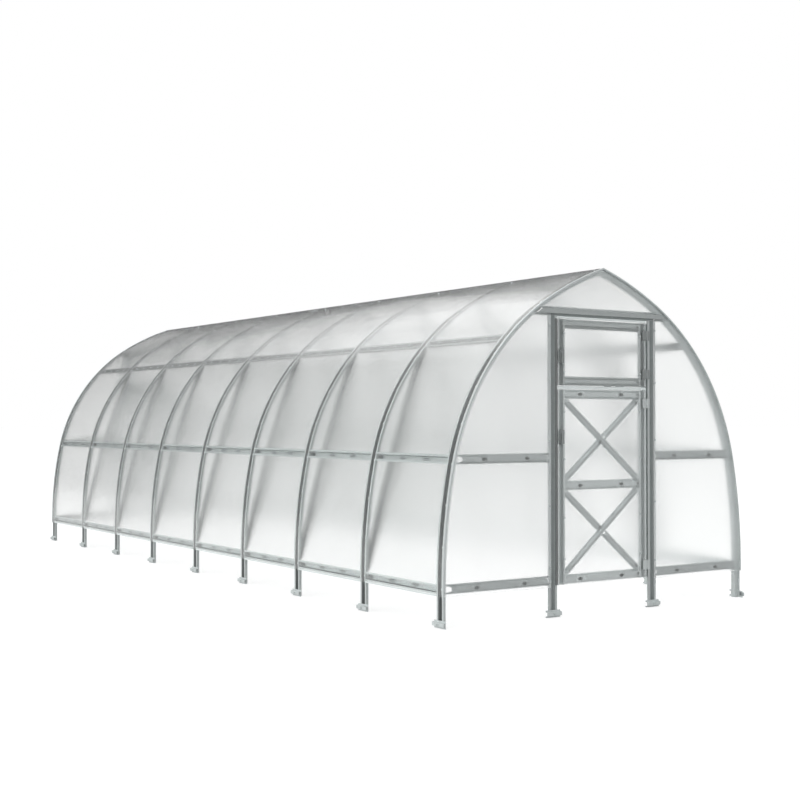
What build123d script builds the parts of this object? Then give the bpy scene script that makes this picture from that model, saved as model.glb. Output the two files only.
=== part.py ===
"""Gothic arch greenhouse: bent hat-profile hoops, straight rails and braces, twin-wall sheets,
and a hinged door under a vent in each gable. X runs across, Y along the ridge, Z up."""

import os
from math import acos, asin, cos, degrees, radians, sin

from build123d import *

# Arch over the sheets, in millimetres and degrees
cover_span = 2966.0
spring_height = 300.0
side_radius = 4012.0
shoulder_radius = 1840.0
roof_radius = 2790.0
side_angle = 12.0
shoulder_angle = 46.5

# Bays along the ridge
bay_length = 1000.0
bay_count = 8
bays_per_sheet = 2
shifted_hoops = (3, 6)
hoop_shift = 28.0

# Hat profiles: of the hoops and posts, of the rails and leaves, and of the door braces and feet
hoop_width = 80.0
hoop_groove = 44.0
hoop_crown = 36.0
profile_width = 68.0
groove_width = 38.0
crown_width = 30.0
profile_depth = 34.0
profile_wall = 1.2
brace_width = 54.0
brace_groove = 30.0
brace_crown = 24.0
brace_depth = 20.0

# Sheets and the clearances between seated pieces
sheet_thickness = 6.0
seat_gap = 0.3
joint_gap = 0.6
sheet_foot = 218.0
overrun = 200.0

# Heights of the rails, at their middle lines
base_rail_height = 265.0
mid_rail_height = 1163.0
upper_rail_height = 2029.0
rail_sink = 1.6

# Chord braces inside the hoops, feet and ridge plates
chord_foot_height = 305.0
chord_head_height = 1985.0
foot_length = 140.0
ridge_plate_reach = 95.0
ridge_plate_thickness = 4.0

# Gable frame
post_offset = 497.0
header_stub = 110.0
rail_notch = 34.0
end_notch = 9.0
stop_clearance = 5.5
stop_lap = 24.0

# Door leaf and the vent above it
latch_gap = 8.0
hinge_gap = 24.0
header_gap = 22.0
vent_height = 490.0
leaf_gap = 30.0
door_mid_rise = 7.0
door_pane_clearance = 8.0
vent_pane_clearance = 5.0

# Hinges
knuckle_radius = 8.0
knuckle_count = 3
pin_radius = 4.0
pin_clearance = 0.3
hinge_height = 72.0
hinge_plate = 3.0
leaf_plate_reach = 40.0
post_plate_reach = 20.0
hinge_swing_gap = 1.5
door_hinge_inset = 98.0
vent_hinge_inset = 96.0

# Latches
latch_width = 44.0
latch_height = 100.0
latch_plate = 4.0
latch_corner = 6.0
latch_boss_radius = 13.0
latch_boss_height = 12.0
latch_boss_share = 0.25
lever_length = 78.0
lever_width = 16.0
lever_tip_width = 24.0
lever_thickness = 9.0
door_latch_rise = 363.0
vent_latch_drop = 31.0

# Places worked out from the sizes above
half_length = bay_length * bay_count / 2
hoop_places = [index * bay_length - half_length for index in range(bay_count + 1)]
for number in shifted_hoops:
    hoop_places[number - 1] += hoop_shift
hoop_inset = sheet_thickness + seat_gap
crown_inset = hoop_inset + profile_depth
gable_face = half_length + hoop_width / 2
pane_back = gable_face + seat_gap
pane_front = pane_back + sheet_thickness
shoulder_start = side_angle
roof_start = side_angle + shoulder_angle
leaf_left = -post_offset + hoop_width / 2 + latch_gap
leaf_right = post_offset - hoop_width / 2 - hinge_gap
hinge_x = leaf_right + hinge_gap / 2
hinge_y = pane_front + seat_gap + hinge_plate / 2
stile_seat = crown_width / 2 + profile_wall + 2 * seat_gap
post_seat = hoop_crown / 2 + profile_wall + 2 * seat_gap


def arch_ends(inset):
    """Ends of the leg, side and shoulder of the arch line at an inset: (x, z) of each."""
    leg_x = cover_span / 2 - inset
    side = side_radius - inset
    shoulder = shoulder_radius - inset
    first = cos(radians(shoulder_start))
    second = cos(radians(roof_start))
    side_end = (leg_x - side * (1 - first), spring_height + side * sin(radians(shoulder_start)))
    rise = shoulder * (sin(radians(roof_start)) - sin(radians(shoulder_start)))
    shoulder_end = (side_end[0] - shoulder * (first - second), side_end[1] + rise)
    return leg_x, side_end, shoulder_end


def roof_angle(inset, x):
    """Angle from upright of the roof arc where it passes x."""
    shoulder_end = arch_ends(inset)[2]
    return degrees(acos(cos(radians(roof_start)) - (shoulder_end[0] - x) / (roof_radius - inset)))


def arch_height(inset, x):
    """Height of the arch line at x."""
    leg_x, side_end, shoulder_end = arch_ends(inset)
    if x <= shoulder_end[0]:
        start, begin, radius = shoulder_end, roof_start, roof_radius - inset
    elif x <= side_end[0]:
        start, begin, radius = side_end, shoulder_start, shoulder_radius - inset
    else:
        start, begin, radius = (leg_x, spring_height), 0.0, side_radius - inset
    angle = acos(cos(radians(begin)) - (start[0] - x) / radius)
    return start[1] + radius * (sin(angle) - sin(radians(begin)))


def arch_line(inset, foot, end_x):
    """Right half of the arch as a leg and three tangent arcs, from foot height to end_x."""
    leg_x = arch_ends(inset)[0]
    leg = Line((leg_x, foot), (leg_x, spring_height))
    side = JernArc(leg @ 1, leg % 1, side_radius - inset, side_angle)
    shoulder = JernArc(side @ 1, side % 1, shoulder_radius - inset, shoulder_angle)
    roof_turn = roof_angle(inset, end_x) - roof_start
    roof = JernArc(shoulder @ 1, shoulder % 1, roof_radius - inset, roof_turn)
    return Curve() + [leg, side, shoulder, roof]


def arch_point(inset, height):
    """Point (x, z) on the right half of the arch at a height, and its lean from upright."""
    leg_x, side_end, shoulder_end = arch_ends(inset)
    if height <= spring_height:
        return leg_x, height, 0.0
    if height <= side_end[1]:
        start, begin, radius = (leg_x, spring_height), 0.0, side_radius - inset
    elif height <= shoulder_end[1]:
        start, begin, radius = side_end, shoulder_start, shoulder_radius - inset
    else:
        start, begin, radius = shoulder_end, roof_start, roof_radius - inset
    lean = asin(sin(radians(begin)) + (height - start[1]) / radius)
    return start[0] - radius * (cos(radians(begin)) - cos(lean)), height, degrees(lean)


# Heights in the gables, from the header down
header_height = arch_height(crown_inset + seat_gap, post_offset + header_stub)
vent_head_height = header_height - profile_width / 2 - header_gap
vent_foot_height = vent_head_height - vent_height
door_head_height = vent_foot_height - leaf_gap
door_foot_height = base_rail_height - profile_width / 2
door_mid_height = (door_foot_height + door_head_height) / 2 + door_mid_rise
door_latch_height = door_mid_height + door_latch_rise
vent_latch_height = (vent_foot_height + vent_head_height) / 2 - vent_latch_drop


def arch_region(inset, foot):
    """Face, in the XZ plane, of all that lies under the arch line at an inset."""
    right = arch_line(inset, foot, 0.0)
    left = mirror(right, Plane.YZ)
    sill = Line(left @ 0, right @ 0)
    return Plane.XZ * make_face(right.edges() + left.edges() + [sill])


def arch_band(inset, thickness, foot, end_x):
    """Face, in the XZ plane, of a bent strip of the right half of the arch."""
    outer = arch_line(inset, foot, end_x)
    inner = arch_line(inset + thickness, foot, end_x)
    closing = [Line(outer @ 0, inner @ 0), Line(outer @ 1, inner @ 1)]
    return Plane.XZ * make_face(outer.edges() + inner.edges() + closing)


def hat(width, groove, crown, depth):
    """Hat section: flanges along local X at zero, groove open at zero, crown at depth along Y."""
    half = [
        (width / 2, 0.0),
        (groove / 2, 0.0),
        (crown / 2, depth - profile_wall),
    ]
    back = [
        (crown / 2 + profile_wall, depth),
        (groove / 2 + profile_wall, profile_wall),
        (width / 2, profile_wall),
    ]
    inside = half + [(-x, y) for x, y in reversed(half)]
    outside = [(-x, y) for x, y in reversed(back)] + back
    return make_face(Polyline(*inside, *outside, close=True))


def hoop_hat():
    return hat(hoop_width, hoop_groove, hoop_crown, profile_depth)


def frame_hat():
    return hat(profile_width, groove_width, crown_width, profile_depth)


def brace_hat():
    return hat(brace_width, brace_groove, brace_crown, brace_depth)


def hat_bar(start, end, inward, section):
    """Straight hat bar from start to end, its flanges on that line and its crown inward."""
    run = Vector(end) - Vector(start)
    place = Plane(origin=start, x_dir=Vector(inward).cross(run), z_dir=run)
    return extrude(place * section, amount=run.length)


def along_y(face, low, high):
    """Solid of a face in the XZ plane, drawn out between two places along Y."""
    return Pos(0, low, 0) * extrude(face, amount=high - low, dir=(0, 1, 0))


def block(low, high):
    """Box between two corners."""
    size = Vector(*high) - Vector(*low)
    return Pos(*low) * Box(*size, align=(Align.MIN, Align.MIN, Align.MIN))


def both_sides(solid):
    """A solid of the right side with its mirror image on the left."""
    return [mirror(solid, Plane.YZ), solid]


def rear_of(solids):
    """The front gable's pieces turned round to the rear gable."""
    return [Rot(0, 0, 180) * solid for solid in solids]


# Hoops, with a plate under each ridge joint

def hoop_half():
    leg_x = arch_ends(hoop_inset)[0]
    path = Plane.XZ * arch_line(hoop_inset, 0.0, 0.0)
    start = Plane(origin=(leg_x, 0, 0), x_dir=(0, 1, 0), z_dir=(0, 0, 1))
    bent = sweep(start * hoop_hat(), path=Wire(path.edges()))
    return split(bent, bisect_by=Plane.YZ.offset(joint_gap / 2), keep=Keep.TOP)


def ridge_plate():
    inset = crown_inset + seat_gap
    band = arch_region(inset, 0.0) - arch_region(inset + ridge_plate_thickness, 0.0)
    top = arch_height(0.0, 0.0)
    window = Plane.XZ * Pos(0, top) * Rectangle(ridge_plate_reach * 2, top)
    return along_y(band & window, -hoop_crown / 2, hoop_crown / 2)


# Side rails, one piece to each bay

def bay_bars(x, z, inward):
    bars = []
    clear = hoop_width / 2 + seat_gap
    for near, far in zip(hoop_places, hoop_places[1:]):
        bars.append(hat_bar((x, near + clear, z), (x, far - clear, z), inward, frame_hat()))
    return bars


def side_rails(height, side):
    x, z, lean = arch_point(hoop_inset + rail_sink, height)
    inward = (-side * cos(radians(lean)), 0, -sin(radians(lean)))
    return bay_bars(side * x, z, inward)


def ridge_rails():
    top = arch_height(hoop_inset, profile_width / 2) - seat_gap
    return bay_bars(0.0, top, (0, 0, -1))


# Straight chord braces inside the middle hoops

def chord_brace():
    inset = crown_inset + seat_gap
    foot = arch_point(inset, chord_foot_height)
    head = arch_point(inset, chord_head_height)
    low = Vector(foot[0], 0, foot[1])
    high = Vector(head[0], 0, head[1])
    reach = (high - low).normalized() * overrun
    inward = (low - high).cross(Vector(0, 1, 0))
    bar = hat_bar(low - reach, high + reach, inward, frame_hat())
    return bar & along_y(arch_region(inset, 0.0), -profile_width, profile_width)


# Feet: short hat pieces laid across the outside of each leg

def hoop_foot():
    x = arch_ends(hoop_inset)[0] + seat_gap
    z = brace_width / 2
    return hat_bar((x, -foot_length / 2, z), (x, foot_length / 2, z), (1, 0, 0), brace_hat())


def post_foot(x):
    z = brace_width / 2
    ends = (x - foot_length / 2, -pane_back, z), (x + foot_length / 2, -pane_back, z)
    return hat_bar(*ends, (0, -1, 0), brace_hat())


# Gable frame, written for the front

def upright(x, foot, head, section):
    """Post or stile in the gable's face, its groove outward."""
    return hat_bar((x, -gable_face, foot), (x, -gable_face, head), (0, 1, 0), section)


def cross_bar(left, right, height):
    """Level bar of the gable, its crown outward against the sheet."""
    back = profile_depth - gable_face
    return hat_bar((left, back, height), (right, back, height), (0, -1, 0), frame_hat())


def notch(left, right, height):
    """Block that cuts a level bar's crown and webs away and leaves its flanges as tongues."""
    reach = groove_width / 2 + profile_wall
    low = left, -gable_face - overrun, height - reach
    return block(low, (right, -gable_face + overrun, height + reach))


def under_hoop(solid):
    """The part of a gable bar that ends at the hoop's inner face."""
    room = arch_region(crown_inset + seat_gap, 0.0)
    return solid & along_y(room, -gable_face - overrun, -half_length + overrun)


def gable_posts():
    head = header_height - profile_width / 2 - seat_gap
    return [upright(x, 0.0, head, hoop_hat()) for x in (-post_offset, post_offset)]


def gable_header():
    reach = cover_span / 2
    return under_hoop(cross_bar(-reach, reach, header_height))


def gable_rail(height):
    """Rail from a post to the hoop, with tongues at both ends past the cut crown."""
    rail = under_hoop(cross_bar(post_offset + post_seat, cover_span / 2, height))
    tip = arch_point(crown_inset + seat_gap, height)[0]
    rail -= notch(post_offset, post_offset + hoop_width / 2 + end_notch, height)
    return rail - notch(tip - rail_notch, cover_span / 2, height)


def door_stops():
    """Stepped strips on the posts' crowns that stand behind the gaps beside the leaf."""
    near = profile_depth - gable_face + seat_gap
    far = profile_depth - gable_face + stop_clearance
    outer = post_offset + hoop_crown / 2
    inner = post_offset - hoop_crown / 2
    tip = -leaf_left - stop_lap
    front = [(outer, near), (inner, near), (inner, far), (tip, far)]
    shift = inner + profile_wall
    back = [
        (tip, far + profile_wall),
        (shift, far + profile_wall),
        (shift, near + profile_wall),
        (outer, near + profile_wall),
    ]
    section = Pos(0, 0, door_foot_height) * make_face(Polyline(*front, *back, close=True))
    return both_sides(extrude(section, amount=vent_head_height - door_foot_height, dir=(0, 0, 1)))


def gable_rails():
    lower = both_sides(gable_rail(base_rail_height))
    return lower + both_sides(gable_rail(mid_rail_height))


def pane_solid(face):
    return along_y(face, -pane_front, -pane_back)


def gable_window(low, high):
    """Rectangle in the XZ plane between two (x, z) corners."""
    middle = (low[0] + high[0]) / 2, (low[1] + high[1]) / 2
    return Plane.XZ * Pos(*middle) * Rectangle(high[0] - low[0], high[1] - low[1])


def gable_side_panes():
    inner = post_offset + hoop_groove / 2
    head = header_height - groove_width / 2
    window = gable_window((inner, sheet_foot), (cover_span / 2, head))
    return both_sides(pane_solid(arch_region(hoop_inset, sheet_foot) & window))


def gable_top_pane():
    low = header_height + groove_width / 2
    window = gable_window((-cover_span / 2, low), (cover_span / 2, low + cover_span))
    return pane_solid(arch_region(hoop_inset, sheet_foot) & window)


# Door leaf and vent, written for the front

def leaf_frame(foot, head, rails):
    """Two stiles and the rails between them, tongued at both ends."""
    left = leaf_left + profile_width / 2
    right = leaf_right - profile_width / 2
    reach = profile_width / 2 + seat_gap
    bars = [upright(x, foot, head, frame_hat()) for x in (left, right)]
    for height in rails:
        rail = cross_bar(left + stile_seat, right - stile_seat, height)
        bars.append(rail - notch(left, left + reach, height) - notch(right - reach, right, height))
    return bars


def door_frame():
    half = profile_width / 2
    rails = door_foot_height + half, door_mid_height, door_head_height - half
    return leaf_frame(door_foot_height, door_head_height, rails)


def vent_frame():
    half = profile_width / 2
    return leaf_frame(vent_foot_height, vent_head_height, (vent_foot_height + half, vent_head_height - half))


def leaf_pane(foot, head):
    return pane_solid(gable_window((leaf_left, foot), (leaf_right, head)))


def panel_cross(foot, head, rising):
    """Crossed braces of one door panel: one runs through, the other is cut at it."""
    left = leaf_left + profile_width + seat_gap
    right = leaf_right - profile_width - seat_gap
    room = along_y(gable_window((left, foot), (right, head)), -gable_face, -half_length)
    corners = [(left, foot), (right, head)], [(left, head), (right, foot)]
    through, cut = corners if rising else reversed(corners)
    whole = brace_bar(*through)
    start, end = (Vector(x, -gable_face, z) for x, z in through)
    gap = brace_width + 2 * seat_gap
    slot = Plane(origin=start, x_dir=(0, 1, 0), z_dir=end - start)
    clear = extrude(slot * Rectangle(overrun, gap), amount=(end - start).length)
    halves = (brace_bar(*cut) & room) - clear
    return [whole & room] + halves.solids()


def brace_bar(start, end):
    """Door brace along a panel's diagonal, past both corners, its crown outward."""
    low = Vector(start[0], brace_depth - gable_face, start[1])
    high = Vector(end[0], brace_depth - gable_face, end[1])
    reach = (high - low).normalized() * overrun
    return hat_bar(low - reach, high + reach, (0, -1, 0), brace_hat())


def door_braces():
    half = profile_width / 2
    lower = door_foot_height + profile_width + seat_gap, door_mid_height - half - seat_gap
    upper = door_mid_height + half + seat_gap, door_head_height - profile_width - seat_gap
    return panel_cross(*lower, True) + panel_cross(*upper, False)


# Hinges and latches, written for the front

def hinge_knuckle(low, high):
    ring = Cylinder(knuckle_radius, high - low) - Cylinder(pin_radius + pin_clearance, high - low)
    return Pos(hinge_x, -hinge_y, (low + high) / 2) * ring


def hinge_tab(low, high, to_leaf):
    """Strap from a knuckle's wall to the plate on the leaf or the post."""
    wall = (pin_radius + pin_clearance + knuckle_radius) / 2
    reach = knuckle_radius + hinge_swing_gap
    back = pane_front if to_leaf else gable_face
    side = -1 if to_leaf else 1
    near, far = sorted((hinge_x + side * wall, hinge_x + side * (reach + seat_gap)))
    return block((near, -back - seat_gap - hinge_plate, low), (far, -back - seat_gap, high))


def leaf_plate(low, high):
    right = hinge_x - knuckle_radius - hinge_swing_gap
    front = -pane_front - seat_gap - hinge_plate
    return block((right - leaf_plate_reach, front, low), (right, front + hinge_plate, high))


def post_plate(low, high):
    left = hinge_x + knuckle_radius + hinge_swing_gap
    front = -gable_face - seat_gap - hinge_plate
    return block((left, front, low), (left + post_plate_reach, front + hinge_plate, high))


def hinge_cuts(middle):
    """Heights that part a hinge into its three knuckles, from the lowest up."""
    foot = middle - hinge_height / 2
    return [foot + hinge_height * step / knuckle_count for step in range(knuckle_count + 1)]


def moving_hinge(middle):
    cuts = hinge_cuts(middle)
    low, high = cuts[1] + seat_gap, cuts[2] - seat_gap
    return leaf_plate(cuts[0], cuts[3]) + hinge_tab(low, high, True) + hinge_knuckle(low, high)


def post_hinge(middle):
    cuts = hinge_cuts(middle)
    hinge = post_plate(cuts[0], cuts[3])
    for low, high in ((cuts[0], cuts[1]), (cuts[2], cuts[3])):
        hinge += hinge_tab(low, high, False) + hinge_knuckle(low, high)
        hinge += Pos(hinge_x, -hinge_y, (low + high) / 2) * Cylinder(pin_radius + pin_clearance, high - low)
    return hinge + Pos(hinge_x, -hinge_y, middle) * Cylinder(pin_radius, hinge_height)


def door_hinge_heights():
    return door_foot_height + door_hinge_inset, door_head_height - door_hinge_inset


def vent_hinge_heights():
    return vent_foot_height + vent_hinge_inset, vent_head_height - vent_hinge_inset


def latch(middle):
    """Plate with a round boss and a lever that hangs from it."""
    x = leaf_left + profile_width / 2
    face = Plane(origin=(x, -pane_front - seat_gap, middle), x_dir=(1, 0, 0), z_dir=(0, -1, 0))
    plate = extrude(face * RectangleRounded(latch_width, latch_height, latch_corner), amount=latch_plate)
    top = latch_height * latch_boss_share
    boss = extrude(face * Pos(0, top) * Circle(latch_boss_radius), amount=latch_plate + latch_boss_height)
    lever = make_face(
        Polyline(
            (-lever_width / 2, top),
            (lever_width / 2, top),
            (lever_tip_width / 2, top - lever_length),
            (-lever_tip_width / 2, top - lever_length),
            close=True,
        )
    )
    raised = face.offset(latch_plate + latch_boss_height - lever_thickness)
    return plate + boss + extrude(raised * lever, amount=lever_thickness)


# Sheets over the hoops

def cover(first_bay):
    """Both halves of the roof sheet over a few bays, from the base to the ridge."""
    low = hoop_places[first_bay] + joint_gap / 2
    high = hoop_places[first_bay + bays_per_sheet] - joint_gap / 2
    if first_bay == 0:
        low = -pane_front
    if first_bay + bays_per_sheet == bay_count:
        high = pane_front
    band = arch_band(0.0, sheet_thickness, sheet_foot, joint_gap / 2)
    return both_sides(along_y(band, low, high))


def at_hoops(solid, places):
    return [Pos(0, place, 0) * solid for place in places]


# The pieces by name

def gable_nodes(name, turn):
    """Every piece of one gable, with its door, by node name."""
    door_heights = door_hinge_heights()
    door_rise = leaf_gap - door_pane_clearance
    vent_rise = header_gap - vent_pane_clearance
    hardware = [latch(vent_latch_height)]
    for height in vent_hinge_heights():
        hardware += [moving_hinge(height), post_hinge(height)]
    pieces = {
        "posts": gable_posts(),
        "header": [gable_header()],
        "gable_rails": gable_rails(),
        "door_stops": door_stops(),
        "side_panes": gable_side_panes(),
        "top_pane": [gable_top_pane()],
        "vent_frame": vent_frame(),
        "vent_pane": [leaf_pane(vent_foot_height, vent_head_height + vent_rise)],
        "vent_hardware": hardware,
        "door_hinge_posts": [post_hinge(height) for height in door_heights],
        "door_frame": door_frame(),
        "door_braces": door_braces(),
        "door_pane": [leaf_pane(door_foot_height, door_head_height + door_rise)],
        "door_hinge_leaves": [moving_hinge(height) for height in door_heights],
        "door_latch": [latch(door_latch_height)],
    }
    return {f"{name}_{key}": turn(solids) for key, solids in pieces.items()}


def frame_nodes():
    """Hoops, rails, braces, feet and sheets, by node name."""
    nodes = {}
    halves = both_sides(hoop_half())
    for number, place in enumerate(hoop_places, start=1):
        nodes[f"hoop_{number}"] = [Pos(0, place, 0) * half for half in halves]
    nodes["ridge_plates"] = at_hoops(ridge_plate(), hoop_places)
    for side_name, side in (("left", -1), ("right", 1)):
        nodes[f"{side_name}_base_rails"] = side_rails(base_rail_height, side)
        nodes[f"{side_name}_mid_rails"] = side_rails(mid_rail_height, side)
        nodes[f"{side_name}_upper_rails"] = side_rails(upper_rail_height, side)
    nodes["ridge_rails"] = ridge_rails()
    left_chord, right_chord = both_sides(chord_brace())
    nodes["left_chord_braces"] = at_hoops(left_chord, hoop_places[1:-1])
    nodes["right_chord_braces"] = at_hoops(right_chord, hoop_places[1:-1])
    left_foot, right_foot = both_sides(hoop_foot())
    nodes["left_hoop_feet"] = at_hoops(left_foot, hoop_places)
    nodes["right_hoop_feet"] = at_hoops(right_foot, hoop_places)
    feet = [post_foot(x) for x in (-post_offset, post_offset)]
    nodes["post_feet"] = feet + rear_of(feet)
    for number, first_bay in enumerate(range(0, bay_count, bays_per_sheet), start=1):
        nodes[f"roof_sheet_{number}"] = cover(first_bay)
    return nodes


def main():
    os.makedirs("parts", exist_ok=True)
    nodes = frame_nodes()
    nodes.update(gable_nodes("front", list))
    nodes.update(gable_nodes("rear", rear_of))
    for name, solids in nodes.items():
        pieces = [piece for solid in solids for piece in solid.solids()]
        export_step(Compound(children=pieces), os.path.join("parts", f"{name}.step"))
    print(len(nodes), "nodes, ridge at", round(arch_height(0.0, 0.0), 1))


main()
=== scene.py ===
from math import cos, pi, radians, sin

import bpy
from mathutils import Matrix, Vector


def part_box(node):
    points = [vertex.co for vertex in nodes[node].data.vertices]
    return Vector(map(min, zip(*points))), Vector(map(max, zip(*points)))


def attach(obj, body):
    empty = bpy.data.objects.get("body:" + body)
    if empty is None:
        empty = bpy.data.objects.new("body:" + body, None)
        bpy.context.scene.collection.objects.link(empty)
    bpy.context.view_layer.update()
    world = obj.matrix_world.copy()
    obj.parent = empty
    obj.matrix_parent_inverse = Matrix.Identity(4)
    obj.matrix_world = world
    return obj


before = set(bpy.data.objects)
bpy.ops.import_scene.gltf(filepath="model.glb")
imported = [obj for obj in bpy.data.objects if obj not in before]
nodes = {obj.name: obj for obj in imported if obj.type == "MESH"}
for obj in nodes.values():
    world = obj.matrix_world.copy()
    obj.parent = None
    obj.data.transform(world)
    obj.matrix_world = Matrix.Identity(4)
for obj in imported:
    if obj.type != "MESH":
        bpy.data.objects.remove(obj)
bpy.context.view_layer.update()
bpy.ops.object.select_all(action="DESELECT")
print("frame loaded:", len(nodes), "nodes")


# Small helpers for node trees

def newMaterial(name):
    mat = bpy.data.materials.new(name)
    mat.use_nodes = True
    tree = mat.node_tree
    return mat, tree.nodes, tree.links, tree.nodes["Principled BSDF"]


def addNode(tree, kind, values=(), **settings):
    node = tree.new(kind)
    for key, value in settings.items():
        setattr(node, key, value)
    for key, value in dict(values).items():
        node.inputs[key].default_value = value
    return node


def mathNode(tree, links, operation, first, second=0.0):
    node = addNode(tree, "ShaderNodeMath", operation=operation)
    for socket, value in zip(node.inputs, (first, second)):
        if isinstance(value, (int, float)):
            socket.default_value = value
        else:
            links.new(value, socket)
    return node.outputs["Value"]


def mixColour(tree, links, factor, first, second):
    mix = addNode(tree, "ShaderNodeMix", data_type="RGBA")
    mix.inputs["A"].default_value = (*first, 1)
    mix.inputs["B"].default_value = (*second, 1)
    links.new(factor, mix.inputs["Factor"])
    return mix.outputs["Result"]


def rangeOf(tree, links, value, ends, span=(0.0, 1.0)):
    limits = {"From Min": span[0], "From Max": span[1], "To Min": ends[0], "To Max": ends[1]}
    node = addNode(tree, "ShaderNodeMapRange", limits)
    links.new(value, node.inputs["Value"])
    return node.outputs["Result"]


def axesOf(tree, links, vector):
    split = tree.new("ShaderNodeSeparateXYZ")
    links.new(vector, split.inputs["Vector"])
    return split.outputs


# Galvanised steel: crystals, faint streaks and a dull uneven sheen

# The frame steels below are one galvanised steel whose shades are set part by part to the tone each part
# shows under the lamps: the differences between them are painted light and shade
steelLooks = {
    "frameSteel": {"shades": (0.555, 0.685), "metal": 0.25, "rough": (0.4, 0.56)},
    "railSteel": {"shades": (0.474, 0.585), "metal": 0.25, "rough": (0.4, 0.56)},
    # the upper rails are darker as painted shade
    "upperSteel": {"shades": (0.28, 0.361), "metal": 0.25, "rough": (0.4, 0.56)},
    "gableSteel": {"shades": (0.383, 0.473), "metal": 0.25, "rough": (0.4, 0.56)},
    "leafSteel": {"shades": (0.495, 0.605), "metal": 0.22, "rough": (0.38, 0.54)},
    "hardwareSteel": {"shades": (0.269, 0.34), "metal": 0.4, "rough": (0.3, 0.45)},
    # the chord braces and rail ends are darker as painted shade
    "braceSteel": {"shades": (0.178, 0.26), "metal": 0.25, "rough": (0.4, 0.56)},
    "screwZinc": {"shades": (0.65, 0.75), "metal": 0.1, "rough": (0.25, 0.4)},
    # flat dark colour of the painted shade marks and lines
    "paintedShade": {"shades": (0.095, 0.15), "metal": 0.2, "rough": (0.5, 0.65)},
    "trimPale": {"shades": (0.75, 0.84), "metal": 0.1, "rough": (0.4, 0.55)},
    "bandSteel": {"shades": (0.573, 0.673), "metal": 0.15, "rough": (0.42, 0.56)},
    "postSteel": {"shades": (0.433, 0.523), "metal": 0.15, "rough": (0.42, 0.56)},
    # dark colour of the latch-side strips and of the painted shadow beads
    "darkStrip": {"shades": (0.155, 0.206), "metal": 0.0, "rough": (0.6, 0.75)},
    "footSteel": {"shades": (0.56, 0.69), "metal": 0.2, "rough": (0.45, 0.6)},
}
hoopLook = {"shades": (0.494, 0.615), "metal": 0.2, "rough": (0.4, 0.56)}
zinc = {
    "tint": (0.935, 1.0, 0.997),
    "crystal": 70.0,
    "streak": {"Scale": 9.0, "Detail": 6.0, "Roughness": 0.62},
    "streakShare": 0.55,
    "bump": {"Strength": 0.04, "Distance": 0.002},
    # the groove entries place the painted shade in a hoop's groove and set how dark it is
    "grooveHalf": 0.0223,
    "grooveFacing": 0.02,
    "grooveShade": 0.47,
}


# Painted shade inside a hoop's groove: the colour is darkened near the hoop's plane, on faces that look
# outward

def paintGrooveShade(tree, links, coords, colour, place):
    point = axesOf(tree, links, coords.outputs["Object"])
    normal = axesOf(tree, links, coords.outputs["Normal"])
    apart = mathNode(tree, links, "ABSOLUTE", mathNode(tree, links, "SUBTRACT", point["Y"], place))
    inside = mathNode(tree, links, "LESS_THAN", apart, zinc["grooveHalf"])
    side = mathNode(tree, links, "SIGN", point["X"])
    sideways = mathNode(tree, links, "MULTIPLY", normal["X"], side)
    outward = mathNode(tree, links, "ADD", sideways, normal["Z"])
    facing = mathNode(tree, links, "GREATER_THAN", outward, zinc["grooveFacing"])
    mix = addNode(tree, "ShaderNodeMix", data_type="RGBA", blend_type="MULTIPLY")
    mix.inputs["B"].default_value = (*[zinc["grooveShade"]] * 3, 1)
    links.new(mathNode(tree, links, "MULTIPLY", inside, facing), mix.inputs["Factor"])
    links.new(colour, mix.inputs["A"])
    return mix.outputs["Result"]


def galvanised(name, look, groove=None):
    mat, tree, links, bsdf = newMaterial(name)
    coords = tree.new("ShaderNodeTexCoord")
    crystal = addNode(tree, "ShaderNodeTexVoronoi", {"Scale": zinc["crystal"]})
    streak = addNode(tree, "ShaderNodeTexNoise", zinc["streak"])
    for texture in (crystal, streak):
        links.new(coords.outputs["Object"], texture.inputs["Vector"])
    blend = addNode(tree, "ShaderNodeMix", {"Factor": zinc["streakShare"]}, data_type="FLOAT")
    links.new(crystal.outputs["Color"], blend.inputs["A"])
    links.new(streak.outputs["Fac"], blend.inputs["B"])
    uneven = blend.outputs["Result"]
    dark, light = ([shade * part for part in zinc["tint"]] for shade in look["shades"])
    colour = mixColour(tree, links, uneven, dark, light)
    # hoops take painted shade in their grooves
    if groove is not None:
        colour = paintGrooveShade(tree, links, coords, colour, groove)
    links.new(colour, bsdf.inputs["Base Color"])
    links.new(rangeOf(tree, links, uneven, look["rough"]), bsdf.inputs["Roughness"])
    bump = addNode(tree, "ShaderNodeBump", zinc["bump"])
    links.new(uneven, bump.inputs["Height"])
    links.new(bump.outputs["Normal"], bsdf.inputs["Normal"])
    bsdf.inputs["Metallic"].default_value = look["metal"]
    return mat


# Twin-wall sheet: rough clear plastic with fine flutes, milky enough to blur what stands behind it

sheetLooks = {
    "roofSheet": {"axis": "Y", "ior": 1.5, "rough": (0.15, 0.06), "bump": 0.2,
                  "tint": (0.962, 0.972, 0.968), "rib": (0.93, 0.943, 0.939)},
    "gablePane": {"axis": "X", "ior": 1.3, "rough": (0.3, 0.277), "bump": 0.32,
                  "tint": (1.0, 1.0, 1.0), "rib": (0.982, 0.988, 0.986)},
}
flute = {"pitch": 0.006, "height": 0.0006, "clearer": (1.6, 2.2), "lampTint": (0.96, 0.968, 0.966)}


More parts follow.
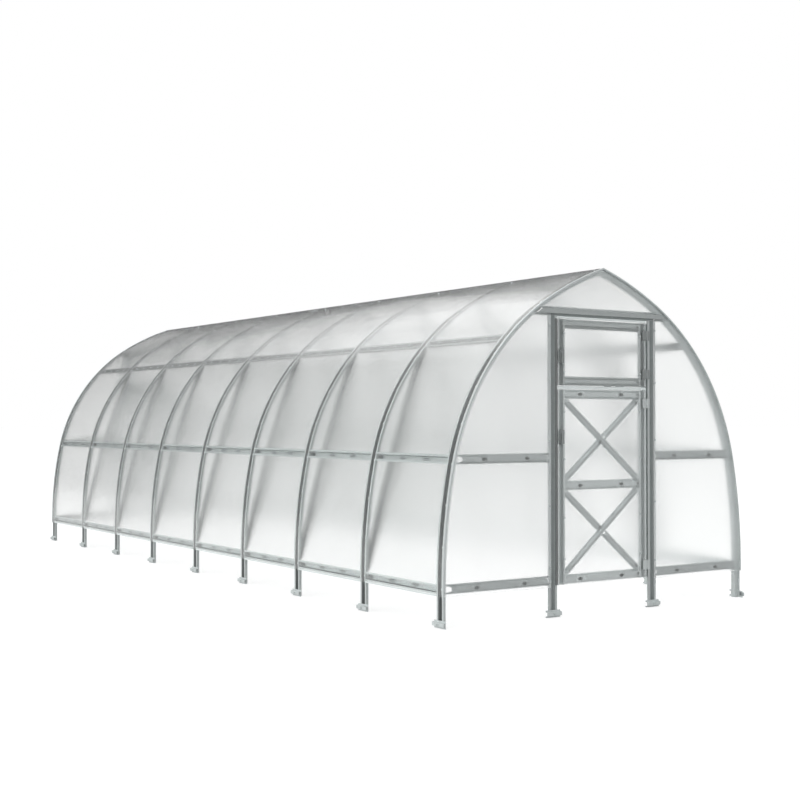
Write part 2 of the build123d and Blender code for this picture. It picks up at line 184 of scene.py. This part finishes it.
def twinWall(name, look):
    mat, tree, links, bsdf = newMaterial(name)
    coords = tree.new("ShaderNodeTexCoord")
    bands = {"Scale": pi / (10 * flute["pitch"])}  # a wave repeats every pi / (10 * scale)
    wave = addNode(tree, "ShaderNodeTexWave", bands, bands_direction=look["axis"])
    links.new(coords.outputs["Object"], wave.inputs["Vector"])
    colour = mixColour(tree, links, wave.outputs["Fac"], look["rib"], look["tint"])
    links.new(colour, bsdf.inputs["Base Color"])
    bump = addNode(tree, "ShaderNodeBump", {"Strength": look["bump"], "Distance": flute["height"]})
    links.new(wave.outputs["Fac"], bump.inputs["Height"])
    links.new(bump.outputs["Normal"], bsdf.inputs["Normal"])
    height = axesOf(tree, links, coords.outputs["Object"])["Z"]
    wipe = rangeOf(tree, links, height, look["rough"], flute["clearer"])
    links.new(wipe, bsdf.inputs["Roughness"])  # clearer towards the ridge
    bsdf.inputs["IOR"].default_value = look["ior"]
    bsdf.inputs["Transmission Weight"].default_value = 1.0
    clear = addNode(tree, "ShaderNodeBsdfTransparent", {"Color": (*flute["lampTint"], 1)})
    path = tree.new("ShaderNodeLightPath")
    either = tree.new("ShaderNodeMixShader")  # lamp light passes straight through
    links.new(path.outputs["Is Shadow Ray"], either.inputs["Fac"])
    links.new(bsdf.outputs["BSDF"], either.inputs[1])
    links.new(clear.outputs["BSDF"], either.inputs[2])
    links.new(either.outputs["Shader"], tree["Material Output"].inputs["Surface"])
    return mat


finishes = {name: galvanised(name, look) for name, look in steelLooks.items()}
finishes.update({name: twinWall(name, look) for name, look in sheetLooks.items()})

# The first word found in a node's name gives its finish
finishWords = (
    ("roof_sheet", "roofSheet"), ("pane", "gablePane"), ("feet", "footSteel"), ("chord", "braceSteel"),
    ("hinge", "leafSteel"), ("posts", "postSteel"), ("stops", "frameSteel"), ("latch", "hardwareSteel"),
    ("hardware", "hardwareSteel"), ("mid_rails", "railSteel"), ("upper_rails", "upperSteel"),
    ("door", "leafSteel"), ("front", "gableSteel"), ("rear", "gableSteel"), ("", "frameSteel"),
)


def middleOf(name):
    low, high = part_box(name)
    return (low[1] + high[1]) / 2


def finishFor(name):
    # each hoop has its own steel, with painted shade in its groove
    if name.startswith("hoop_"):
        return galvanised(name.replace("_", "Steel"), hoopLook, middleOf(name))
    return next(finishes[finish] for word, finish in finishWords if word in name)


for name, node in nodes.items():
    node.data.materials.clear()
    node.data.materials.append(finishFor(name))
print("finishes set")


# Where the frame stands, read from the nodes

hoopPlaces = [middleOf(f"hoop_{number}") for number in range(1, 10)]
bays = list(zip(hoopPlaces, hoopPlaces[1:]))
sheetLow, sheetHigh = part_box("roof_sheet_1")
paneLow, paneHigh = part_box("front_door_pane")
postLow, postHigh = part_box("front_posts")
hat = {"hoopHalf": 0.04, "railWidth": 0.068}
arch = {
    "half": sheetHigh[0],
    "foot": sheetLow[2],
    "spring": 0.3,
    "arcs": ((4.012, 12.0), (1.84, 46.5), (2.79, 12.7)),  # radius and turn, from the leg to the ridge
    "reach": 4.0,  # more than the run from the ground to the ridge
    "halvings": 30,
}
gable = {
    "paneFront": -paneLow[1],
    "barFront": -postLow[1],
    "postPlace": postHigh[0] - hat["hoopHalf"],
    "leafLeft": paneLow[0],
    "leafRight": paneHigh[0],
}
railHeights = {"base": 0.265, "mid": 1.163, "upper": 2.029}


def archPoint(inset, run):
    x, z, lean = arch["half"] - inset, min(run, arch["spring"]), 0.0
    left = run - arch["spring"]
    for radius, turn in arch["arcs"]:
        if left <= 0:
            break
        bend = radius - inset
        step = min(radians(turn), left / bend)
        x -= bend * (cos(lean) - cos(lean + step))
        z += bend * (sin(lean + step) - sin(lean))
        lean += step
        left -= bend * step
    return x, z, lean


def archAt(inset, height):
    low, high = 0.0, arch["reach"]
    for halving in range(arch["halvings"]):
        middle = (low + high) / 2
        low, high = (middle, high) if archPoint(inset, middle)[1] < height else (low, middle)
    return archPoint(inset, low)


# Modelling by hand: a box or disc to start from, faces picked by normal and place, copies joined

facingFloor = 0.9  # how nearly a face looks the way that is asked for


def editMode():
    bpy.ops.object.mode_set(mode="EDIT")


def objectMode():
    bpy.ops.object.mode_set(mode="OBJECT")


def started(name):
    piece = bpy.context.object
    piece.name = name
    bpy.ops.object.transform_apply(location=True, rotation=True, scale=True)
    return piece


def startBox(name, low, high):
    bpy.ops.object.select_all(action="DESELECT")
    bpy.ops.mesh.primitive_cube_add(size=1, location=[(a + b) / 2 for a, b in zip(low, high)])
    bpy.context.object.scale = [b - a for a, b in zip(low, high)]
    return started(name)


def startDisc(name, sides, radius, depth):
    bpy.ops.object.select_all(action="DESELECT")
    middle = (0, 0, depth / 2)
    bpy.ops.mesh.primitive_cylinder_add(vertices=sides, radius=radius, depth=depth, location=middle)
    return started(name)


def pickFaces(piece, facing):
    editMode()
    bpy.ops.mesh.select_mode(type="FACE")
    bpy.ops.mesh.select_all(action="DESELECT")
    objectMode()
    for face in piece.data.polygons:
        face.select = face.normal.dot(Vector(facing)) > facingFloor
    editMode()


# The edges of a face that is dropped here stay picked, so a push takes them along

def narrowPick(piece, keep):
    objectMode()
    for face in piece.data.polygons:
        face.select = face.select and keep(face.center)
    editMode()


def pushOut(step):
    bpy.ops.mesh.extrude_region_move(TRANSFORM_OT_translate={"value": step})


def facesOut():
    editMode()
    bpy.ops.mesh.select_all(action="SELECT")
    bpy.ops.mesh.normals_make_consistent(inside=False)
    objectMode()


def joined(name, pieces):
    bpy.ops.object.select_all(action="DESELECT")
    for piece in pieces:
        piece.select_set(True)
    bpy.context.view_layer.objects.active = pieces[0]
    bpy.ops.object.transform_apply(location=True, rotation=True, scale=True)
    bpy.ops.object.join()
    pieces[0].name = name
    return pieces[0]


def copiesOf(name, master, places):
    twins = []
    for place in places:
        twin = master.copy()
        twin.data = master.data.copy()
        twin.matrix_world = place
        bpy.context.scene.collection.objects.link(twin)
        twins.append(twin)
    return joined(name, twins)


def dropMasters(*masters):
    for master in masters:
        bpy.data.objects.remove(master, do_unlink=True)


def settle(piece, body, finish):
    piece.data.materials.clear()
    piece.data.materials.append(finishes[finish])
    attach(piece, body)


# Places on the frame: z of the copy looks out of the sheet, its x runs along the bay or the rail

turned = Matrix.Rotation(pi, 4, "Z")
across = Matrix.Scale(-1, 4, (1, 0, 0))
gables = (("front", "front_door", Matrix()), ("rear", "rear_door", turned))


def onArch(side, x, y, z, lean, out=0.0):
    away = Vector((side * cos(lean), 0, sin(lean)))
    turn = Matrix.Rotation(side * (pi / 2 - lean), 4, "Y")
    return Matrix.Translation(Vector((side * x, y, z)) + away * out) @ turn @ Matrix.Rotation(pi / 2, 4, "Z")


def onGable(x, y, z, tilt=0.0):
    return Matrix.Translation((x, -y, z)) @ Matrix.Rotation(pi / 2, 4, "X") @ Matrix.Rotation(tilt, 4, "Z")


# A row is a label, a master, its places on the front gable, finish, slot and whether it rides the door

def onBothGables(*rows):
    for name, door, turn in gables:
        for label, master, places, finish, slotName, onDoor in rows:
            copies = copiesOf(f"{name}{label}", master, [turn @ place for place in places])
            settle(copies, door if onDoor else "frame", finish)


# Sheet screws: a washer and a low head, along every hoop, the upper rails, the posts and the leaves

screw = {"washer": 0.0085, "washerDepth": 0.0018, "rim": 0.0035, "headDepth": 0.0034, "headTaper": 0.86,
         "sides": 12, "firstRun": 0.27, "spacing": 0.29, "lastRun": 3.2, "flange": 0.031,
         "bayShares": (0.2, 0.4, 0.6, 0.8),
         "postHeights": (0.36, 0.81, 1.285, 1.724, 2.13),
         "leafHeights": (0.42, 0.72, 1.15, 1.5), "ventHeights": (1.79, 2.08), "leafIn": 0.0605}


def makeScrew():
    piece = startDisc("screwMaster", screw["sides"], screw["washer"], screw["washerDepth"])
    pickFaces(piece, (0, 0, 1))
    bpy.ops.mesh.inset(thickness=screw["rim"])
    pushOut((0, 0, screw["headDepth"]))
    bpy.ops.transform.resize(value=(screw["headTaper"], screw["headTaper"], 1))
    objectMode()
    return piece


def placeScrews():
    master = makeScrew()
    front = gable["paneFront"]
    roof, fixed, leaves = [], [], []
    run = screw["firstRun"]
    while run < screw["lastRun"]:
        x, z, lean = archPoint(0.0, run)
        roof += [onArch(side, x, y - screw["flange"], z, lean) for y in hoopPlaces for side in (-1, 1)]
        run += screw["spacing"]
    x, z, lean = archAt(0.0, railHeights["upper"])
    for near, far in bays:
        for share in screw["bayShares"]:
            roof += [onArch(side, x, near + (far - near) * share, z, lean) for side in (-1, 1)]
    reach = gable["postPlace"] + screw["flange"]
    for height in screw["postHeights"]:
        fixed += [onGable(place, front, height) for place in (-reach, reach)]
    for place in (gable["leafLeft"] + screw["leafIn"], gable["leafRight"] - screw["leafIn"]):
        leaves += [onGable(place, front, height) for height in screw["leafHeights"]]
        fixed += [onGable(place, front, height) for height in screw["ventHeights"]]
    places = roof + fixed + [turned @ place for place in fixed]
    settle(copiesOf("sheetScrews", master, places), "frame", "screwZinc")
    onBothGables(("DoorScrews", master, leaves, "screwZinc", "hardware", True))
    dropMasters(master)


# Bolts through the feet, with a socket in the head

bolt = {"sides": 6, "washer": 0.011, "washerDepth": 0.002, "rim": 0.003, "headDepth": 0.007,
        "socketRim": 0.0015, "socketDepth": 0.003, "height": 0.027, "footOut": 0.0203}


def placeBolts():
    master = startDisc("boltMaster", bolt["sides"], bolt["washer"], bolt["washerDepth"])
    pickFaces(master, (0, 0, 1))
    bpy.ops.mesh.inset(thickness=bolt["rim"])
    pushOut((0, 0, bolt["headDepth"]))
    bpy.ops.mesh.inset(thickness=bolt["socketRim"])
    pushOut((0, 0, -bolt["socketDepth"]))
    objectMode()
    legs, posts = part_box("hoop_1")[1][0] + bolt["footOut"], gable["barFront"] + bolt["footOut"]
    places = [onArch(side, legs, y, bolt["height"], 0.0) for y in hoopPlaces for side in (-1, 1)]
    front = [onGable(x, posts, bolt["height"]) for x in (-gable["postPlace"], gable["postPlace"])]
    places += front + [turned @ place for place in front]
    settle(copiesOf("footBolts", master, places), "frame", "footSteel")
    dropMasters(master)


# Painted shade marks: shallow dark dishes on the crowns of the gable and leaf rails stand for the shade of
# pressed dimples, and dark spots at the rail ends and where braces end or cross are painted shadow

mark = {"long": 0.022, "wide": 0.0115, "thick": 0.0002, "sides": 20, "gap": 0.00005,
        "rimShare": 0.3, "dishShare": 0.4,
        "railShares": (0.25, 0.75), "railEnds": {"base": (0.546, 1.406), "mid": (0.546, 1.314)},
        "leafRails": (0.265, 0.9545, 1.63), "ventRails": (1.728, 2.15), "leafShares": (0.2, 0.75),
        "endLong": 0.0125, "endWide": 0.01, "endIn": 0.015, "cornerIn": 0.034}
leafEnds = gable["leafLeft"] + hat["railWidth"], gable["leafRight"] - hat["railWidth"]
leafMiddle = sum(leafEnds) / 2
markFace = gable["barFront"] + mark["gap"]

# Where the braces of a door panel cross: height, slope of the brace that is cut, shift of its mark
crossings = ((1.2923, 0.6834, -0.0402), (0.6098, -0.6946, -0.0402))


def makeMark(name, long, wide):
    piece = startDisc(name, mark["sides"], 1.0, mark["thick"])
    pickFaces(piece, (0, 0, 1))
    bpy.ops.mesh.inset(thickness=mark["rimShare"])
    pushOut((0, 0, -mark["thick"] * mark["dishShare"]))
    bpy.ops.mesh.select_all(action="SELECT")
    bpy.ops.transform.resize(value=(long, wide, 1))
    objectMode()
    return piece


def placeMarks():
    rails, leaf, ends = [], [], []
    for row, (start, end) in mark["railEnds"].items():
        for share in mark["railShares"]:
            x = start + (end - start) * share
            rails += [onGable(side * x, markFace, railHeights[row]) for side in (-1, 1)]
    low, high = leafEnds
    for height in mark["leafRails"]:
        leaf += [onGable(low + (high - low) * share, markFace, height) for share in mark["leafShares"]]
        ends.append(onGable(high - mark["endIn"], markFace, height))
    vents = [onGable(high - mark["endIn"], markFace, height) for height in mark["ventRails"]]
    for height, slope, shift in crossings:
        corner = (high - leafMiddle - mark["cornerIn"]) / cos(slope)
        for along in (shift, corner):
            x, z = leafMiddle + along * cos(slope), height + along * sin(slope)
            ends.append(onGable(x, markFace, z, slope))
    oval = makeMark("ovalMaster", mark["long"], mark["wide"])
    spot = makeMark("spotMaster", mark["endLong"], mark["endWide"])
    onBothGables(("RailMarks", oval, rails, "paintedShade", "galvanised_profile", False),
                 ("LeafMarks", oval, leaf, "paintedShade", "galvanised_profile", True),
                 ("EndMarks", spot, ends, "paintedShade", "galvanised_profile", True),
                 ("VentMarks", spot, vents, "paintedShade", "galvanised_profile", False))
    dropMasters(oval, spot)


# Painted shade lines: thin dark strips along the vent's rails and along each brace, broken where a brace is
# cut

shadeLine = {"wide": 0.0045, "long": 0.88, "half": 0.4, "away": 0.255, "taper": (0.98, 0.7, 1),
          "ventLong": 0.7304, "ventHeights": (1.743, 2.136)}


def makeShadeLine():
    piece = startBox("shadeLineMaster", (-0.5, -0.5, 0), (0.5, 0.5, mark["thick"]))
    pickFaces(piece, (0, 0, 1))
    bpy.ops.transform.resize(value=shadeLine["taper"])
    objectMode()
    return piece


def shadeLineAt(x, z, long, tilt=0.0):
    return onGable(x, markFace, z, tilt) @ Matrix.Diagonal((long, shadeLine["wide"], 1, 1))


def placeShadeLines():
    master = makeShadeLine()
    vents = [shadeLineAt(leafMiddle, height, shadeLine["ventLong"]) for height in shadeLine["ventHeights"]]
    braces = []
    for height, slope, shift in crossings:
        braces.append(shadeLineAt(leafMiddle, height, shadeLine["long"], -slope))
        for away in (-shadeLine["away"], shadeLine["away"]):
            x, z = leafMiddle + away * cos(slope), height + away * sin(slope)
            braces.append(shadeLineAt(x, z, shadeLine["half"], slope))
    onBothGables(("VentShadeLines", master, vents, "paintedShade", "galvanised_profile", False),
                 ("BraceShadeLines", master, braces, "paintedShade", "galvanised_profile", True))
    dropMasters(master)


# Pressed dimples in the side rails' grooves, given a darker steel as painted shade, and at the end of each
# rail by the hoop behind it a dark sunken block, painted shade of the rail's open end

dimple = {"long": 0.046, "wide": 0.0105, "tall": 0.009, "sides": 16, "base": 0.35,
          "rings": ((0.3, 0.82), (0.2, 0.7), (0.15, 0.55)), "smooth": 50,
          "shares": (0.33, 0.66), "inset": 0.0079, "floor": 0.0327, "hoopClear": 0.0403}
railEnd = {"long": 0.046, "wide": 0.027, "tall": 0.014, "rim": 0.0054, "sink": 0.007}


def makeDimple():
    piece = startDisc("dimpleMaster", dimple["sides"], 1.0, dimple["base"])
    pickFaces(piece, (0, 0, 1))
    for rise, size in dimple["rings"]:
        pushOut((0, 0, rise))
        bpy.ops.transform.resize(value=(size, size, 1))
    bpy.ops.mesh.select_all(action="SELECT")
    size = dimple["long"], dimple["wide"], dimple["tall"]
    bpy.ops.transform.resize(value=size, center_override=(0, 0, 0))
    objectMode()
    bpy.ops.object.shade_smooth_by_angle(angle=radians(dimple["smooth"]))
    return piece


def makeRailEnd():
    half = railEnd["long"] / 2, railEnd["wide"] / 2
    piece = startBox("railEndMaster", (-half[0], -half[1], 0), (*half, railEnd["tall"]))
    pickFaces(piece, (0, 0, 1))
    bpy.ops.mesh.inset(thickness=railEnd["rim"])
    pushOut((0, 0, -railEnd["sink"]))
    objectMode()
    return piece


def placeDimples():
    bumps, ends = [], []
    for height in railHeights.values():
        x, z, lean = archAt(dimple["inset"], height)
        for near, far in bays:
            low, high = near + dimple["hoopClear"], far - dimple["hoopClear"]
            places = [low + (high - low) * share for share in dimple["shares"]]
            last = high - railEnd["long"] / 2
            for side in (-1, 1):
                bumps += [onArch(side, x, y, z, lean, -dimple["floor"]) for y in places]
                ends.append(onArch(side, x, last, z, lean, -dimple["floor"]))
    bump, end = makeDimple(), makeRailEnd()
    # the dimples take a darker steel and the rail ends a dark one, as painted shade
    settle(copiesOf("railDimples", bump, bumps), "frame", "hardwareSteel")
    settle(copiesOf("railEnds", end, ends), "frame", "braceSteel")
    dropMasters(bump, end)


# Dark strip on the latch-side post of each gable, with a lip over the gap

latchStrip = {"x": (-0.4745, -0.4575), "y": (-4.0445, -4.0403), "z": (0.231, 2.184),
        "crown": 0.0035, "rise": 0.0015, "lip": 0.0035, "lipTaper": 0.3}


def makeLatchStrips():
    low, high = zip(latchStrip["x"], latchStrip["y"], latchStrip["z"])
    piece = startBox("latchStripMaster", low, high)
    pickFaces(piece, (0, -1, 0))
    bpy.ops.mesh.inset(thickness=latchStrip["crown"])
    pushOut((0, -latchStrip["rise"], 0))
    pickFaces(piece, (1, 0, 0))
    pushOut((latchStrip["lip"], 0, 0))
    bpy.ops.transform.resize(value=(1, latchStrip["lipTaper"], 1), center_override=(0, latchStrip["y"][1], 0))
    objectMode()
    onBothGables(("DoorLatchStrip", piece, [Matrix()], "darkStrip", "hardware", False))
    dropMasters(piece)


# Painted shadow line along the foot of the sheets: a thin dark bead over the lower edge of the base rail

hoopClear = 0.043  # from a hoop's plane to the trims beside it
bead = {"z": (0.2455, 0.251), "gap": 0.0002, "thick": 0.0016, "rim": 0.0012, "rise": 0.0006}


def makeShadeBeads():
    x = arch["half"] + bead["gap"]
    low, high = bead["z"]
    pieces = []
    for near, far in bays:
        piece = startBox("beadMaster", (x, near + hoopClear, low), (x + bead["thick"], far - hoopClear, high))
        pickFaces(piece, (1, 0, 0))
        bpy.ops.mesh.inset(thickness=bead["rim"])
        pushOut((bead["rise"], 0, 0))
        objectMode()
        pieces.append(piece)
    for name, turn in (("rightShadeBeads", Matrix()), ("leftShadeBeads", across)):
        beads = joined(name, [copiesOf(name, piece, [turn]) for piece in pieces])
        facesOut()
        settle(beads, "frame", "darkStrip")
    dropMasters(*pieces)


# Pale strips in the gaps over and under each vent

strip = {"x": (-0.455, 0.44), "y": (-4.036, -4.031), "rows": ((1.668, 1.69), (2.188, 2.203)),
         "rim": 0.003, "rise": 0.001}


def makeStrips():
    for number, row in enumerate(strip["rows"], start=1):
        low, high = zip(strip["x"], strip["y"], row)
        piece = startBox("stripMaster", low, high)
        pickFaces(piece, (0, -1, 0))
        bpy.ops.mesh.inset(thickness=strip["rim"])
        pushOut((0, -strip["rise"], 0))
        objectMode()
        strips = copiesOf(f"gapStrips{number}", piece, [Matrix(), turned])
        settle(strips, "frame", "trimPale")
        dropMasters(piece)


# Band over the cut edge of the roof sheets at each gable: a leg, spun round the arch and cut at the ridge

band = {"deep": 0.01, "proud": 0.0004, "thick": 0.0012, "wrap": 0.014, "steps": (6, 26, 10), "merge": 0.00001}


def makeEdgeTrim():
    inner, front = arch["half"] + band["proud"], gable["paneFront"] + band["proud"]
    outer = inner + band["thick"]
    low = inner - band["deep"], -front - band["thick"], arch["foot"]
    piece = startBox("edgeTrimMaster", low, (outer, -front, arch["spring"]))
    editMode()
    bpy.ops.mesh.select_all(action="SELECT")
    bpy.ops.mesh.bisect(plane_co=(inner, 0, 0), plane_no=(1, 0, 0))
    objectMode()
    pickFaces(piece, (0, 1, 0))
    narrowPick(piece, lambda centre: centre.x > inner)
    pushOut((0, band["wrap"], 0))  # the lip over the sheet
    objectMode()
    pickFaces(piece, (0, 0, 1))
    end, lean = Vector((outer, 0, arch["spring"])), 0.0
    for (radius, turn), steps in zip(arch["arcs"], band["steps"]):
        bend = radius + outer - arch["half"]
        middle = end - bend * Vector((cos(lean), 0, sin(lean)))
        bpy.ops.mesh.spin(steps=steps, angle=radians(turn), center=middle, axis=(0, 1, 0))
        lean += radians(turn)
        end = middle + bend * Vector((cos(lean), 0, sin(lean)))
    bpy.ops.mesh.select_all(action="SELECT")
    bpy.ops.mesh.remove_doubles(threshold=band["merge"])
    bpy.ops.mesh.select_all(action="SELECT")
    bpy.ops.mesh.bisect(plane_co=(0, 0, 0), plane_no=(1, 0, 0), use_fill=True, clear_inner=True)
    facesOut()
    return piece


def placeEdgeTrims():
    edge = makeEdgeTrim()
    edges = copiesOf("edgeTrims", edge, [Matrix(), across, turned, turned @ across])
    facesOut()
    settle(edges, "frame", "bandSteel")
    dropMasters(edge)


# Pale drip under the bottom edge of the sheets in each bay, with a lip turned in below them

drip = {"tall": 0.011, "thick": 0.0012, "lip": 0.006, "gap": 0.0003}


def makeDrip(near, far):
    x, foot = arch["half"] + drip["gap"], arch["foot"]
    fold = foot - drip["gap"]
    high = x + drip["thick"], far, foot + drip["tall"]
    piece = startBox("dripMaster", (x, near, foot - drip["thick"]), high)
    editMode()
    bpy.ops.mesh.bisect(plane_co=(0, 0, fold), plane_no=(0, 0, 1))
    objectMode()
    pickFaces(piece, (-1, 0, 0))
    narrowPick(piece, lambda centre: centre.z < fold)
    pushOut((-drip["lip"], 0, 0))
    objectMode()
    return piece


def placeDrips():
    for number, (near, far) in enumerate(bays, start=1):
        piece = makeDrip(near + hoopClear, far - hoopClear)
        pair = copiesOf(f"dripTrim{number}", piece, [Matrix(), across])
        facesOut()
        settle(pair, "frame", "trimPale")
        dropMasters(piece)


placeScrews()
placeBolts()
print("screws and bolts placed")
placeMarks()
placeShadeLines()
placeDimples()
print("rail marks placed")
makeLatchStrips()
makeShadeBeads()
makeStrips()
placeEdgeTrims()
placeDrips()
print("seals and trims placed")


# Floor, light and camera

studio = {
    "floorSize": 400.0,
    "floorColour": (0.5, 0.5, 0.5),
    "floorRough": 0.9,
    "floorLift": 0.62,
    "floorThrough": 0.6,
    "skyDiffuse": 0.8,
    "skySeen": 1.0,
    "halfBounce": 0.5,
    "mirror": (0.1, 1.0),
    "mirrorBand": (0.3, 0.6),
}
lamps = {
    "leftLamp": {"place": (-22.0, -2.0, 5.0), "size": 9.0, "power": 1600.0},
    "frontLamp": {"place": (-5.0, -24.0, 4.5), "size": 9.0, "power": 520.0},
    "topLamp": {"place": (0.0, 0.0, 16.0), "size": 14.0, "power": 700.0},
    "roofLamp": {"place": (5.0, 20.0, 20.0), "size": 14.0, "power": 590.0},
}


# One of these rays, before the light has bounced off anything dull

def firstRays(tree, links, *flags):
    path = tree.new("ShaderNodeLightPath")
    found = path.outputs[flags[0]]
    for flag in flags[1:]:
        found = mathNode(tree, links, "MAXIMUM", found, path.outputs[flag])
    direct = mathNode(tree, links, "LESS_THAN", path.outputs["Diffuse Depth"], studio["halfBounce"])
    return mathNode(tree, links, "MULTIPLY", direct, found)


def makeFloor():
    bpy.ops.object.select_all(action="DESELECT")
    bpy.ops.mesh.primitive_plane_add(size=studio["floorSize"])
    floor = bpy.context.object
    floor.name = "studioFloor"
    mat, tree, links, bsdf = newMaterial("studioFloor")
    bsdf.inputs["Base Color"].default_value = (*studio["floorColour"], 1)
    bsdf.inputs["Roughness"].default_value = studio["floorRough"]
    bsdf.inputs["Specular IOR Level"].default_value = 0.0
    bsdf.inputs["Emission Color"].default_value = (1, 1, 1, 1)
    seen = firstRays(tree, links, "Is Camera Ray")
    through = firstRays(tree, links, "Is Transmission Ray", "Is Glossy Ray")
    seenLift = mathNode(tree, links, "MULTIPLY", seen, studio["floorLift"])
    throughLift = mathNode(tree, links, "MULTIPLY", through, studio["floorThrough"])
    lift = mathNode(tree, links, "MAXIMUM", seenLift, throughLift)
    links.new(lift, bsdf.inputs["Emission Strength"])
    floor.data.materials.append(mat)


# The sky lights softly, mirrors as a grey dome, and is white where it is seen or seen through the sheets

def makeWorld():
    world = bpy.data.worlds.new("studioSky")
    bpy.context.scene.world = world
    world.use_nodes = True
    tree, links = world.node_tree.nodes, world.node_tree.links
    soft = tree["Background"]
    dome, white = tree.new("ShaderNodeBackground"), tree.new("ShaderNodeBackground")
    for sky in (soft, dome, white):
        sky.inputs["Color"].default_value = (1, 1, 1, 1)
    soft.inputs["Strength"].default_value = studio["skyDiffuse"]
    white.inputs["Strength"].default_value = studio["skySeen"]
    coords = tree.new("ShaderNodeTexCoord")
    height = axesOf(tree, links, coords.outputs["Generated"])["Z"]
    rise = rangeOf(tree, links, height, studio["mirror"], studio["mirrorBand"])
    links.new(rise, dome.inputs["Strength"])
    glossy = firstRays(tree, links, "Is Glossy Ray")
    clear = firstRays(tree, links, "Is Camera Ray", "Is Transmission Ray")
    light = soft.outputs["Background"]
    for factor, sky in ((glossy, dome), (clear, white)):
        mix = tree.new("ShaderNodeMixShader")
        links.new(factor, mix.inputs["Fac"])
        links.new(light, mix.inputs[1])
        links.new(sky.outputs["Background"], mix.inputs[2])
        light = mix.outputs["Shader"]
    links.new(light, tree["World Output"].inputs["Surface"])


def makeLamps():
    for name, look in lamps.items():
        lamp = bpy.data.lights.new(name, "AREA")
        lamp.size = look["size"]
        lamp.energy = look["power"]
        holder = bpy.data.objects.new(name, lamp)
        holder.location = look["place"]
        holder.rotation_euler = (-Vector(look["place"])).to_track_quat("-Z", "Y").to_euler()
        bpy.context.scene.collection.objects.link(holder)


view = {
    "place": (-6.728, -11.4114, 1.4308),
    "tilt": 90.921,
    "turn": -33.575,
    "lens": 59.03,
    "sensor": 36.0,
}


def makeCamera():
    lens = bpy.data.cameras.new("photoCamera")
    lens.lens = view["lens"]
    lens.sensor_width = view["sensor"]
    camera = bpy.data.objects.new("photoCamera", lens)
    camera.location = view["place"]
    camera.rotation_euler = (radians(view["tilt"]), 0, radians(view["turn"]))
    bpy.context.scene.collection.objects.link(camera)
    bpy.context.scene.camera = camera


makeFloor()
makeWorld()
makeLamps()
makeCamera()
bpy.context.scene.view_settings.view_transform = "Standard"
print("studio ready")
